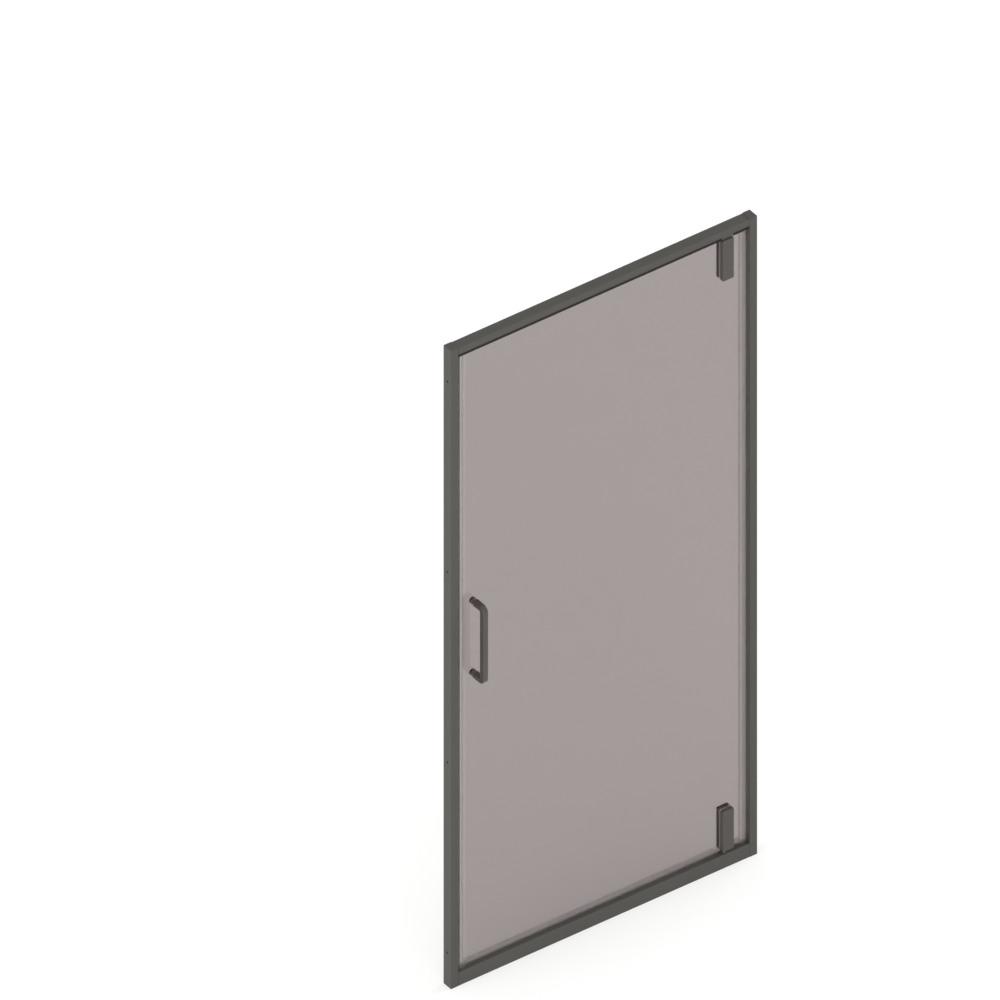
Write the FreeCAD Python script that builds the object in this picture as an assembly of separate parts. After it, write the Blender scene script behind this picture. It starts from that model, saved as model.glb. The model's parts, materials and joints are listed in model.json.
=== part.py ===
import FreeCAD, Part
import math
import os

# Framed pivot door that closes a shower niche between two walls, hinged on the right seen from outside.
# Aluminium jambs telescope into wall channels and carry a head rail and a threshold rail.
# A glass leaf swings outwards on a pin at its top and at its bottom, both set in from its edge.
# Millimetres, +Z up, +X to the right seen from outside, +Y into the shower.
# Origin: middle of the threshold's underside, in the middle plane of the glass.

V = FreeCAD.Vector

# Overall frame
FRAME_WIDTH = 900.0
FRAME_HEIGHT = 1900.0
FRAME_DEPTH = 30.0

# Wall channels and their top caps
CHANNEL_WALL = 1.6
CHANNEL_REACH = 21.5
CHANNEL_TIP_RADIUS = 0.5
WALL_HOLE_RADIUS = 3.0
WALL_HOLE_FROM_END = 100.0
CAP_PLATE = 1.2
CAP_EDGE_RADIUS = 0.8
CAP_PLUG_DEPTH = 6.0
CAP_PLUG_WALL = 2.5

# Jambs
SIGHT_WIDTH = 22.0
JAMB_WALL = 1.5
JAMB_EDGE_RADIUS = 0.8
SLIDE_CLEARANCE = 0.3
WALL_ADJUSTMENT = 5.0

# Groove for seals, the same in jambs and head rail
GROOVE_MOUTH = 5.0
GROOVE_WIDTH = 7.0
GROOVE_DEPTH = 2.5
GROOVE_BACK_WALL = 1.2

# Rails
RAIL_WALL = 1.6
HEAD_RAIL_HEIGHT = 19.8
THRESHOLD_HEIGHT = 40.0
RAIL_EDGE_RADIUS = 0.8
THRESHOLD_TOP_RADIUS = 2.0
PORT_OUTER_RADIUS = 3.4
PORT_BORE_RADIUS = 1.8
PORT_FROM_FACE = 4.4
PORT_HALF_SPACING = 8.15

# Frame screws and lock screws
FRAME_SCREW_RADIUS = 1.7
FRAME_SCREW_LENGTH = 22.0
FRAME_SCREW_HEAD_RADIUS = 3.2
FRAME_SCREW_HEAD_HEIGHT = 2.4
LOCK_SCREW_RADIUS = 1.6
LOCK_SCREW_LENGTH = 8.0
LOCK_SCREW_HEAD_RADIUS = 3.0
LOCK_SCREW_HEAD_HEIGHT = 2.0
LOCK_SCREW_FROM_END = 250.0
SNAP_CAP_RADIUS = 5.0
SNAP_CAP_HEIGHT = 3.4
SNAP_CAP_WALL = 1.0
SNAP_CAP_ROUNDING = 1.4
PAN_HEAD_ROUNDING = 0.7
SCREW_CLEARANCE = 0.1

# Leaf
GLASS_THICKNESS = 6.0
GLASS_CORNER_RADIUS = 3.0
GLASS_ARRIS = 0.8
LEAF_GAP_TOP = 11.0
LEAF_GAP_BOTTOM = 9.0
STRIKE_GLASS_GAP = 19.0
HINGE_GLASS_GAP = 11.0
PIVOT_FROM_WALL = 85.0

# Seals
SEAL_WALL = 1.4
SEAL_CLEARANCE = 0.15
CLIP_GRIP = 9.0
STRIKE_STRIP_STAND = 7.8
MAGNET_HALF_WIDTH = 3.6
MAGNET_THICKNESS = 4.0
MAGNET_GAP = 0.6
BULB_GAP = 0.6
HEAD_SEAL_GAP = 0.8
HEAD_SEAL_INSET = 0.8
DRIP_GAP = 0.5
DRIP_FIN_REACH = 7.0
SEAL_END_CLEARANCE = 0.4
FIN_TIP_RADIUS = 0.5

# Pivot hinges
HINGE_WIDTH = 33.0
HINGE_LENGTH = 120.0
OUTER_PLATE_THICKNESS = 12.0
INNER_PLATE_THICKNESS = 7.0
HINGE_CORNER_RADIUS = 3.0
HINGE_EDGE_RADIUS = 1.2
GASKET_THICKNESS = 1.0
BOSS_WIDTH = 20.0
BOSS_LENGTH = 44.0
BOSS_REACH_INTO_INNER = 3.0
BOSS_CORNER_RADIUS = 4.0
NOTCH_CLEARANCE = 1.0
POCKET_CLEARANCE = 0.3
PIN_RADIUS = 4.0
PIN_COLLAR_RADIUS = 7.0
PIN_DEPTH_IN_BOSS = 25.0
PIN_END_CHAMFER = 0.8
PIN_FIT = 0.02
CLAMP_SCREW_RADIUS = 3.0
CLAMP_SCREW_HEAD_RADIUS = 5.6
CLAMP_SCREW_NEAR = 35.0
CLAMP_SCREW_FAR = 88.0
CLAMP_SCREW_BLIND = 3.0
SOCKET_KEY_RADIUS = 2.3
SOCKET_KEY_DEPTH = 2.4
GLASS_HOLE_RADIUS = 6.0
SLEEVE_CLEARANCE = 0.2

# Pivot sockets and bushes
SOCKET_FLANGE_RADIUS = 13.4
SOCKET_FLANGE = 2.0
SOCKET_BODY_RADIUS = 7.6
SOCKET_BODY_DEPTH = 11.0
SKIRT_WALL = 2.2
SKIRT_CORNER_RADIUS = 2.5
SOCKET_CLEARANCE = 0.2
BUSH_WALL = 2.0
BUSH_FLANGE = 1.5
BUSH_FLANGE_RADIUS = 7.2
BUSH_LENGTH = 10.0
BUSH_FIT = 0.05
TOP_PLAY = 0.5
BEARING_PLAY = 0.1
SOCKET_SCREW_CIRCLE = 10.2
SOCKET_SCREW_RADIUS = 1.6
SOCKET_SCREW_HEAD_RADIUS = 2.9
SOCKET_SCREW_LENGTH = 7.0

# Pull handle
HANDLE_BAR = 15.0
HANDLE_EDGE_RADIUS = 2.0
HANDLE_CENTRES = 214.0
HANDLE_HEIGHT = 1003.0
HANDLE_REACH = 43.5
HANDLE_BEND_RADIUS = 10.0
HANDLE_FROM_WALL = 79.5
HANDLE_WASHER_THICKNESS = 1.0
HANDLE_SCREW_RADIUS = 3.0
HANDLE_SCREW_HEAD_RADIUS = 5.0
HANDLE_SCREW_HEAD_HEIGHT = 4.0
HANDLE_THREAD_DEPTH = 16.0
ROSETTE_RADIUS = 8.5
ROSETTE_THICKNESS = 6.0
ROSETTE_EDGE_RADIUS = 1.5

# Places that follow from the driving sizes
POST_TOP = FRAME_HEIGHT - CAP_PLATE
WALL_X = FRAME_WIDTH / 2
JAMB_HALF = FRAME_DEPTH / 2 - CHANNEL_WALL - SLIDE_CLEARANCE
JAMB_BACK = CHANNEL_WALL + WALL_ADJUSTMENT
RAIL_HALF = FRAME_DEPTH / 2
OPENING_HALF = WALL_X - SIGHT_WIDTH
HEAD_BOTTOM = POST_TOP - HEAD_RAIL_HEIGHT
LEAF_TOP = HEAD_BOTTOM - LEAF_GAP_TOP
LEAF_BOTTOM = THRESHOLD_HEIGHT + LEAF_GAP_BOTTOM
LEAF_MIDDLE = (LEAF_TOP + LEAF_BOTTOM) / 2
PIVOT_X = WALL_X - PIVOT_FROM_WALL
GLASS_LEFT = STRIKE_GLASS_GAP - OPENING_HALF
GLASS_RIGHT = OPENING_HALF - HINGE_GLASS_GAP
GLASS_HALF = GLASS_THICKNESS / 2
CLIP_INNER = GLASS_HALF + SEAL_CLEARANCE
CLIP_OUTER = CLIP_INNER + SEAL_WALL
CLIP_BASE = SEAL_CLEARANCE + SEAL_WALL
MAGNET_BODY_HALF = MAGNET_HALF_WIDTH + SEAL_CLEARANCE + SEAL_WALL
PLATE_FACE = GLASS_HALF + GASKET_THICKNESS
HANDLE_X = HANDLE_FROM_WALL - WALL_X
HANDLE_ZS = (HANDLE_HEIGHT - HANDLE_CENTRES / 2, HANDLE_HEIGHT + HANDLE_CENTRES / 2)
HANDLE_FOOT = GLASS_HALF + HANDLE_WASHER_THICKNESS
EDGE_SEAL_BOTTOM = THRESHOLD_HEIGHT + DRIP_GAP
DRIP_SPLIT = max(HINGE_WIDTH / 2, SOCKET_FLANGE_RADIUS) + SEAL_END_CLEARANCE
HEAD_SEAL_HALF = JAMB_HALF - HEAD_SEAL_INSET
HEAD_SEAL_TIP = LEAF_TOP + HEAD_SEAL_GAP
HEAD_SPLIT = HINGE_WIDTH / 2 + SEAL_END_CLEARANCE
SCREW_HEIGHTS_HEAD = (POST_TOP - PORT_FROM_FACE,)
SCREW_HEIGHTS_THRESHOLD = (PORT_FROM_FACE, THRESHOLD_HEIGHT - PORT_FROM_FACE)

LEFT = -1
RIGHT = 1
NEARLY_ZERO = 1e-6


# Helpers


def rounded_wire(corners, place):
    """Closed wire through corners (a, b, radius); place turns (a, b) into a point."""
    arcs = []
    for i, (a, b, radius) in enumerate(corners):
        here = V(a, b, 0)
        before = V(*corners[i - 1][:2], 0)
        after = V(*corners[(i + 1) % len(corners)][:2], 0)
        to_before = (before - here).normalize()
        to_after = (after - here).normalize()
        if radius == 0:
            arcs.append((here, None, here))
            continue
        half_angle = to_before.getAngle(to_after) / 2
        bisector = (to_before + to_after).normalize()
        tangent = radius / math.tan(half_angle)
        middle = here + bisector * (radius / math.sin(half_angle) - radius)
        arcs.append((here + to_before * tangent, middle, here + to_after * tangent))
    edges = []
    for i, (start, middle, end) in enumerate(arcs):
        if middle is not None:
            edges.append(Part.Arc(*[place(p.x, p.y) for p in (start, middle, end)]).toShape())
        following = arcs[(i + 1) % len(arcs)][0]
        if (following - end).Length > NEARLY_ZERO:
            edges.append(Part.makeLine(place(end.x, end.y), place(following.x, following.y)))
    return Part.Wire(edges)


def sharp(*points):
    """Corners with no radius."""
    return [(a, b, 0) for a, b in points]


def rectangle(a0, b0, a1, b1, radius=0):
    return [(a0, b0, radius), (a1, b0, radius), (a1, b1, radius), (a0, b1, radius)]


def prism(corners, place, along):
    """Solid swept from one closed outline."""
    return Part.Face(rounded_wire(corners, place)).extrude(along)


def upright(corners, side, bottom, top):
    """Prism along Z; an outline's first number is the distance from the wall on that side."""

    def place(from_wall, depth):
        return V(side * (WALL_X - from_wall), depth, bottom)

    return prism(corners, place, V(0, 0, top - bottom))


def lengthwise(corners, start, end):
    """Prism along X; an outline's numbers are depth and height."""

    def place(depth, height):
        return V(start, depth, height)

    return prism(corners, place, V(end - start, 0, 0))


def slab(corners, front, back):
    """Prism along Y; an outline's numbers are X and height."""

    def place(x, height):
        return V(x, front, height)

    return prism(corners, place, V(0, back - front, 0))


def rod(radius, start, end):
    """Round bar or bore between two points."""
    return Part.makeCylinder(radius, (end - start).Length, start, end - start)


def turned(outline, centre):
    """Solid of revolution about the vertical through centre.

    outline holds (radius, height), or adds a rounding.
    """

    def place(radius, height):
        return centre + V(radius, 0, height)

    corners = [(*corner, 0)[:3] for corner in outline]
    return Part.Face(rounded_wire(corners, place)).revolve(centre, V(0, 0, 1), 360)


def aimed(solid, point, direction):
    """Solid made about the origin, with its +Z turned to a direction and its origin moved to a point."""
    solid.Placement = FreeCAD.Placement(point, FreeCAD.Rotation(V(0, 0, 1), direction))
    return solid


def pan_screw(radius, length, head_radius, head_height):
    """Screw with a flat-bottomed head; the head's underside is at the origin, the shank goes down."""
    outline = [(0, -length), (radius / 2, -length), (radius, radius - length), (radius, 0)]
    rounding = head_height * PAN_HEAD_ROUNDING
    outline += [(head_radius, 0), (head_radius, head_height, rounding), (0, head_height)]
    return turned(outline, V(0, 0, 0))


def flat_screw(radius, length, head_radius):
    """Countersunk screw; the head's top is at the origin, the shank goes down."""
    cone = head_radius - radius
    outline = [(0, -length), (radius / 2, -length), (radius, radius / 2 - length), (radius, -cone)]
    outline += [(head_radius, 0), (0, 0)]
    return turned(outline, V(0, 0, 0))


def countersink(radius, depth, head_radius):
    """Cutter for a countersunk screw, with the named clearance all round."""
    bore = radius + SCREW_CLEARANCE
    mouth = head_radius + SCREW_CLEARANCE
    outline = [(0, -depth), (bore, -depth), (bore, bore - mouth)]
    outline += [(mouth, 0), (mouth, head_radius), (0, head_radius)]
    return turned(outline, V(0, 0, 0))


def hex_key(depth):
    """Hexagonal prism for a socket in a screw head, its mouth at the origin."""
    points = []
    for k in range(7):
        turn = math.radians(60 * k)
        points.append(V(SOCKET_KEY_RADIUS * math.cos(turn), SOCKET_KEY_RADIUS * math.sin(turn), -depth))
    return Part.Face(Part.makePolygon(points)).extrude(V(0, 0, 2 * depth))


def upside_down(shape):
    """Copy of a piece of the upper hinge, mirrored to the lower end of the leaf."""
    return shape.mirror(V(0, 0, LEAF_MIDDLE), V(0, 0, 1))


def group(solids):
    return Part.makeCompound(solids)


# Fixed frame


def wall_hole_heights():
    low = WALL_HOLE_FROM_END
    high = FRAME_HEIGHT - WALL_HOLE_FROM_END
    return [low + (high - low) * k / 3 for k in range(4)]


def lock_screw_heights():
    return (LOCK_SCREW_FROM_END, FRAME_HEIGHT / 2, FRAME_HEIGHT - LOCK_SCREW_FROM_END)


def lock_screw_x(side):
    """Middle of the overlap of channel and jamb."""
    return side * (WALL_X - (JAMB_BACK + CHANNEL_REACH) / 2)


def lock_screw_bores(side):
    """Bores through the inner flanges of channel and jamb."""
    radius = LOCK_SCREW_RADIUS + SCREW_CLEARANCE
    x = lock_screw_x(side)
    bores = []
    for z in lock_screw_heights():
        bores.append(rod(radius, V(x, JAMB_HALF - 2 * JAMB_WALL, z), V(x, FRAME_DEPTH, z)))
    return bores


def wall_channel(side):
    half = FRAME_DEPTH / 2
    inner = half - CHANNEL_WALL
    tip = CHANNEL_TIP_RADIUS
    outline = [(0, -half, 0), (CHANNEL_REACH, -half, tip), (CHANNEL_REACH, -inner, tip)]
    outline += sharp((CHANNEL_WALL, -inner), (CHANNEL_WALL, inner))
    outline += [(CHANNEL_REACH, inner, tip), (CHANNEL_REACH, half, tip), (0, half, 0)]
    channel = upright(outline, side, 0, POST_TOP)
    bores = []
    for z in wall_hole_heights():
        start = V(side * (WALL_X - CHANNEL_REACH / 2), 0, z)
        end = V(side * FRAME_WIDTH, 0, z)
        bores.append(rod(WALL_HOLE_RADIUS, start, end))
    return channel.cut(bores + lock_screw_bores(side))


def jamb(side):
    face = SIGHT_WIDTH
    web = face - JAMB_WALL
    groove = web - GROOVE_DEPTH
    housing = groove - GROOVE_BACK_WALL
    inner = JAMB_HALF - JAMB_WALL
    mouth = GROOVE_MOUTH / 2
    half = GROOVE_WIDTH / 2
    wall = half + GROOVE_BACK_WALL
    outline = [(face, mouth, 0), (face, JAMB_HALF, JAMB_EDGE_RADIUS)]
    outline += sharp((JAMB_BACK, JAMB_HALF), (JAMB_BACK, inner), (web, inner), (web, wall))
    outline += sharp((housing, wall), (housing, -wall), (web, -wall), (web, -inner))
    outline += sharp((JAMB_BACK, -inner), (JAMB_BACK, -JAMB_HALF))
    outline += [(face, -JAMB_HALF, JAMB_EDGE_RADIUS), (face, -mouth, 0)]
    outline += sharp((web, -mouth), (web, -half), (groove, -half), (groove, half), (web, half), (web, mouth))
    post = upright(outline, side, 0, POST_TOP)
    bores = []
    for y, z in frame_screw_places():
        start = V(side * (OPENING_HALF - JAMB_WALL), y, z)
        end = V(side * (OPENING_HALF + 2 * JAMB_WALL), y, z)
        bores.append(rod(FRAME_SCREW_RADIUS + SCREW_CLEARANCE, start, end))
    return post.cut(bores + lock_screw_bores(side))


def frame_screw_places():
    """Depth and height of each screw that joins one jamb to the rails."""
    places = []
    for z in SCREW_HEIGHTS_HEAD + SCREW_HEIGHTS_THRESHOLD:
        for y in (-PORT_HALF_SPACING, PORT_HALF_SPACING):
            places.append((y, z))
    return places


def with_ports(rail, heights):
    """Rail with its round screw ports added to the hollow and bored."""
    start = -OPENING_HALF
    end = OPENING_HALF
    ports = []
    bores = []
    for z in heights:
        for y in (-PORT_HALF_SPACING, PORT_HALF_SPACING):
            ports.append(rod(PORT_OUTER_RADIUS, V(start, y, z), V(end, y, z)))
            bores.append(rod(PORT_BORE_RADIUS, V(start, y, z), V(end, y, z)))
    return rail.fuse(ports).removeSplitter().cut(bores)


def head_rail():
    inner = RAIL_HALF - RAIL_WALL
    floor = HEAD_BOTTOM + RAIL_WALL
    roof = POST_TOP - RAIL_WALL
    groove = floor + GROOVE_DEPTH
    housing = groove + GROOVE_BACK_WALL
    mouth = GROOVE_MOUTH / 2
    half = GROOVE_WIDTH / 2
    wall = half + GROOVE_BACK_WALL
    edge = RAIL_EDGE_RADIUS
    outline = [(mouth, HEAD_BOTTOM, 0), (RAIL_HALF, HEAD_BOTTOM, edge), (RAIL_HALF, POST_TOP, edge)]
    outline += [(-RAIL_HALF, POST_TOP, edge), (-RAIL_HALF, HEAD_BOTTOM, edge), (-mouth, HEAD_BOTTOM, 0)]
    outline += sharp((-mouth, floor), (-half, floor), (-half, groove))
    outline += sharp((half, groove), (half, floor), (mouth, floor))
    hollow = sharp((wall, floor), (inner, floor), (inner, roof))
    hollow += sharp((-inner, roof), (-inner, floor), (-wall, floor))
    hollow += sharp((-wall, housing), (wall, housing))
    rail = lengthwise(outline, -OPENING_HALF, OPENING_HALF)
    rail = rail.cut(lengthwise(hollow, -OPENING_HALF, OPENING_HALF))
    rail = with_ports(rail, SCREW_HEIGHTS_HEAD)
    return rail.cut(socket_cutters(HEAD_BOTTOM, 1))


def threshold_rail():
    inner = RAIL_HALF - RAIL_WALL
    roof = THRESHOLD_HEIGHT - RAIL_WALL
    edge = RAIL_EDGE_RADIUS
    crown = THRESHOLD_TOP_RADIUS
    outline = [(-RAIL_HALF, 0, edge), (RAIL_HALF, 0, edge)]
    outline += [(RAIL_HALF, THRESHOLD_HEIGHT, crown), (-RAIL_HALF, THRESHOLD_HEIGHT, crown)]
    hollow = sharp((-inner, RAIL_WALL), (inner, RAIL_WALL))
    hollow += [(inner, roof, crown / 2), (-inner, roof, crown / 2)]
    rail = lengthwise(outline, -OPENING_HALF, OPENING_HALF)
    rail = rail.cut(lengthwise(hollow, -OPENING_HALF, OPENING_HALF))
    rail = with_ports(rail, SCREW_HEIGHTS_THRESHOLD)
    return rail.cut(socket_cutters(THRESHOLD_HEIGHT, -1))


def channel_cap(side):
    """Plate over channel and jamb, with two plugs that press into the jamb's hollow."""
    half = FRAME_DEPTH / 2
    plate = upright(rectangle(0, -half, SIGHT_WIDTH, half, CAP_EDGE_RADIUS), side, POST_TOP, FRAME_HEIGHT)
    housing = SIGHT_WIDTH - JAMB_WALL - GROOVE_DEPTH - GROOVE_BACK_WALL
    outside = JAMB_HALF - JAMB_WALL - SLIDE_CLEARANCE
    inside = outside - CAP_PLUG_WALL
    behind_heads = SIGHT_WIDTH - JAMB_WALL - FRAME_SCREW_HEAD_HEIGHT - SLIDE_CLEARANCE
    start = JAMB_BACK + SLIDE_CLEARANCE
    end = min(housing, behind_heads) - SLIDE_CLEARANCE
    plugs = []
    for low, high in ((inside, outside), (-outside, -inside)):
        plugs.append(upright(rectangle(start, low, end, high), side, POST_TOP - CAP_PLUG_DEPTH, POST_TOP))
    return plate.fuse(plugs).removeSplitter()


def frame_screws():
    screws = []
    for side in (LEFT, RIGHT):
        for y, z in frame_screw_places():
            screw = pan_screw(
                FRAME_SCREW_RADIUS, FRAME_SCREW_LENGTH, FRAME_SCREW_HEAD_RADIUS, FRAME_SCREW_HEAD_HEIGHT
            )
            screws.append(aimed(screw, V(side * (OPENING_HALF + JAMB_WALL), y, z), V(side, 0, 0)))
    return group(screws)


def lock_screw_points():
    return [V(lock_screw_x(side), FRAME_DEPTH / 2, z) for side in (LEFT, RIGHT) for z in lock_screw_heights()]


def lock_screws():
    screws = []
    for point in lock_screw_points():
        screw = pan_screw(
            LOCK_SCREW_RADIUS, LOCK_SCREW_LENGTH, LOCK_SCREW_HEAD_RADIUS, LOCK_SCREW_HEAD_HEIGHT
        )
        screws.append(aimed(screw, point, V(0, 1, 0)))
    return group(screws)


def lock_screw_caps():
    """Hollow caps that snap over the heads of the lock screws."""
    cavity = SNAP_CAP_RADIUS - SNAP_CAP_WALL
    ceiling = SNAP_CAP_HEIGHT - SNAP_CAP_WALL
    outline = [(cavity, 0), (SNAP_CAP_RADIUS, 0), (SNAP_CAP_RADIUS, SNAP_CAP_HEIGHT, SNAP_CAP_ROUNDING)]
    outline += [(0, SNAP_CAP_HEIGHT), (0, ceiling), (cavity, ceiling)]
    return group([aimed(turned(outline, V(0, 0, 0)), point, V(0, 1, 0)) for point in lock_screw_points()])


# Seals of the frame


def strike_strip_outline():
    """Carrier with a foot in the jamb's groove and a box for the magnet.

    Its corners are distances from the wall and depths.
    """
    face = SIGHT_WIDTH
    web = face - JAMB_WALL
    foot = GROOVE_WIDTH / 2 - SEAL_CLEARANCE
    neck = GROOVE_MOUTH / 2 - SEAL_CLEARANCE
    seat = face + SEAL_CLEARANCE
    body = MAGNET_BODY_HALF
    tip = face + STRIKE_STRIP_STAND
    low = web - SEAL_CLEARANCE
    bottom = web - GROOVE_DEPTH + SEAL_CLEARANCE
    outline = sharp((bottom, -foot), (low, -foot), (low, -neck), (seat, -neck), (seat, -body))
    outline += [(tip, -body, FIN_TIP_RADIUS), (tip, body, FIN_TIP_RADIUS)]
    outline += sharp((seat, body), (seat, neck), (low, neck), (low, foot), (bottom, foot))
    return outline


def strike_strip_span():
    return THRESHOLD_HEIGHT + SEAL_END_CLEARANCE, LEAF_TOP


def strike_magnet_box(clearance):
    """Place of the magnet, close behind the strip's face."""
    end = SIGHT_WIDTH + STRIKE_STRIP_STAND - SEAL_WALL + clearance
    start = end - MAGNET_THICKNESS - 2 * clearance
    half = MAGNET_HALF_WIDTH + clearance
    return rectangle(start, -half, end, half)


def strike_strip():
    carrier = upright(strike_strip_outline(), LEFT, *strike_strip_span())
    return carrier.cut(upright(strike_magnet_box(SEAL_CLEARANCE), LEFT, *strike_strip_span()))


def strike_magnet():
    return upright(strike_magnet_box(0), LEFT, *strike_strip_span())


def hinge_infill():
    """Strip that fills the hinge jamb's groove, just below flush."""
    face = SIGHT_WIDTH - SEAL_CLEARANCE
    web = SIGHT_WIDTH - JAMB_WALL
    foot = GROOVE_WIDTH / 2 - SEAL_CLEARANCE
    neck = GROOVE_MOUTH / 2 - SEAL_CLEARANCE
    low = web - SEAL_CLEARANCE
    bottom = web - GROOVE_DEPTH + SEAL_CLEARANCE
    outline = sharp((bottom, -foot), (low, -foot), (low, -neck), (face, -neck))
    outline += sharp((face, neck), (low, neck), (low, foot), (bottom, foot))
    return upright(outline, RIGHT, THRESHOLD_HEIGHT + SEAL_END_CLEARANCE, HEAD_BOTTOM - SEAL_END_CLEARANCE)


def head_seal():
    """Rubber strip with three fins that hang towards the leaf's top edge, in two lengths."""
    floor = HEAD_BOTTOM + RAIL_WALL
    foot = GROOVE_WIDTH / 2 - SEAL_CLEARANCE
    neck = GROOVE_MOUTH / 2 - SEAL_CLEARANCE
    low = floor + SEAL_CLEARANCE
    top = floor + GROOVE_DEPTH - SEAL_CLEARANCE
    seat = HEAD_BOTTOM - SEAL_CLEARANCE
    under = seat - SEAL_WALL
    tip = HEAD_SEAL_TIP
    edge = HEAD_SEAL_HALF
    wall = SEAL_WALL / 2
    round_tip = FIN_TIP_RADIUS
    right = sharp((foot, top), (foot, low), (neck, low), (neck, seat), (edge, seat))
    right += [(edge, tip, round_tip), (edge - SEAL_WALL, tip, round_tip)]
    right += [(edge - SEAL_WALL, under, 0), (wall, under, 0), (wall, tip, round_tip)]
    left = [(-depth, height, radius) for depth, height, radius in reversed(right)]
    spans = [(SEAL_END_CLEARANCE - OPENING_HALF, PIVOT_X - HEAD_SPLIT)]
    spans.append((PIVOT_X + HEAD_SPLIT, OPENING_HALF - SEAL_END_CLEARANCE))
    return group([lengthwise(right + left, start, end) for start, end in spans])


# Pivot sockets, bushes and pins


def socket_screw_offsets():
    """A diagonal pair about the pivot axis."""
    offset = SOCKET_SCREW_CIRCLE * math.sqrt(0.5)
    return [(-offset, -offset), (offset, offset)]


def socket_cutters(face, into):
    """Opening and screw bores in a rail for a socket on that face; into points into the rail."""
    mouth = V(PIVOT_X, 0, face - into)
    end = V(PIVOT_X, 0, face + into * (SOCKET_BODY_DEPTH + SOCKET_CLEARANCE))
    cutters = [rod(SOCKET_BODY_RADIUS + SOCKET_CLEARANCE, mouth, end)]
    for dx, dy in socket_screw_offsets():
        start = V(PIVOT_X + dx, dy, face - into)
        end = V(PIVOT_X + dx, dy, face + into * SOCKET_SCREW_LENGTH)
        cutters.append(rod(SOCKET_SCREW_RADIUS + SCREW_CLEARANCE, start, end))
    return cutters


def bored_socket(flange, face, into):
    """Flange with a round body let into a rail, bored for the bush and countersunk for two screws."""
    plate_face = face - into * SOCKET_FLANGE
    tail = face + into * SOCKET_BODY_DEPTH
    body = rod(SOCKET_BODY_RADIUS, V(PIVOT_X, 0, face), V(PIVOT_X, 0, tail))
    bore_radius = PIN_RADIUS + BUSH_FIT + BUSH_WALL + PIN_FIT
    cutters = [rod(bore_radius, V(PIVOT_X, 0, plate_face - into), V(PIVOT_X, 0, tail + into))]
    for dx, dy in socket_screw_offsets():
        cutter = countersink(SOCKET_SCREW_RADIUS, SOCKET_SCREW_LENGTH, SOCKET_SCREW_HEAD_RADIUS)
        cutters.append(aimed(cutter, V(PIVOT_X + dx, dy, plate_face), V(0, 0, -into)))
    return flange.fuse(body).removeSplitter().cut(cutters)


def skirt_prism(inset, bottom, top):
    """Upright block as wide as the hinge and as deep as the head seal."""
    half_width = HINGE_WIDTH / 2 - inset
    half_depth = HEAD_SEAL_HALF - inset
    left = PIVOT_X - half_width
    right = PIVOT_X + half_width
    corners = rectangle(left, -half_depth, right, half_depth, SKIRT_CORNER_RADIUS)

    def place(x, depth):
        return V(x, depth, bottom)

    return prism(corners, place, V(0, 0, top - bottom))


def upper_pivot_socket():
    """Socket whose skirt carries the line of the head seal past the pivot."""
    plate_face = HEAD_BOTTOM - SOCKET_FLANGE
    cavity = skirt_prism(SKIRT_WALL, HEAD_SEAL_TIP, plate_face)
    return bored_socket(skirt_prism(0, HEAD_SEAL_TIP, HEAD_BOTTOM).cut(cavity), HEAD_BOTTOM, 1)


def lower_pivot_socket():
    flange_top = V(PIVOT_X, 0, THRESHOLD_HEIGHT + SOCKET_FLANGE)
    flange = rod(SOCKET_FLANGE_RADIUS, V(PIVOT_X, 0, THRESHOLD_HEIGHT), flange_top)
    return bored_socket(flange, THRESHOLD_HEIGHT, -1)


def pivot_bush(face, into):
    """Flanged nylon bush whose flange carries the pin's collar."""
    plate_face = face - into * SOCKET_FLANGE
    inner = PIN_RADIUS + BUSH_FIT
    outer = inner + BUSH_WALL
    flange = plate_face - into * BUSH_FLANGE
    tail = plate_face + into * BUSH_LENGTH
    outline = [(inner, flange), (BUSH_FLANGE_RADIUS, flange), (BUSH_FLANGE_RADIUS, plate_face)]
    outline += [(outer, plate_face), (outer, tail), (inner, tail)]
    return turned(outline, V(PIVOT_X, 0, 0))


def pivot_pin(face, into, leaf_end, play):
    """Pin held in the hinge's boss, with a collar that runs on the bush's flange."""
    collar_end = face - into * (SOCKET_FLANGE + BUSH_FLANGE + play)
    tip = face - into * SOCKET_FLANGE + into * (BUSH_LENGTH - PIN_END_CHAMFER)
    root = leaf_end - into * (PIN_DEPTH_IN_BOSS - PIN_END_CHAMFER)
    small = PIN_RADIUS - PIN_END_CHAMFER
    outline = [(0, root), (small, root), (PIN_RADIUS, root + into * PIN_END_CHAMFER), (PIN_RADIUS, leaf_end)]
    outline += [(PIN_COLLAR_RADIUS, leaf_end), (PIN_COLLAR_RADIUS, collar_end), (PIN_RADIUS, collar_end)]
    outline += [(PIN_RADIUS, tip - into * PIN_END_CHAMFER), (small, tip), (0, tip)]
    return turned(outline, V(PIVOT_X, 0, 0))


def socket_screws():
    screws = []
    for face, into in ((HEAD_BOTTOM, 1), (THRESHOLD_HEIGHT, -1)):
        plate_face = face - into * SOCKET_FLANGE
        for dx, dy in socket_screw_offsets():
            screw = flat_screw(SOCKET_SCREW_RADIUS, SOCKET_SCREW_LENGTH, SOCKET_SCREW_HEAD_RADIUS)
            screws.append(aimed(screw, V(PIVOT_X + dx, dy, plate_face), V(0, 0, -into)))
    return group(screws)


# Glass


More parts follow.
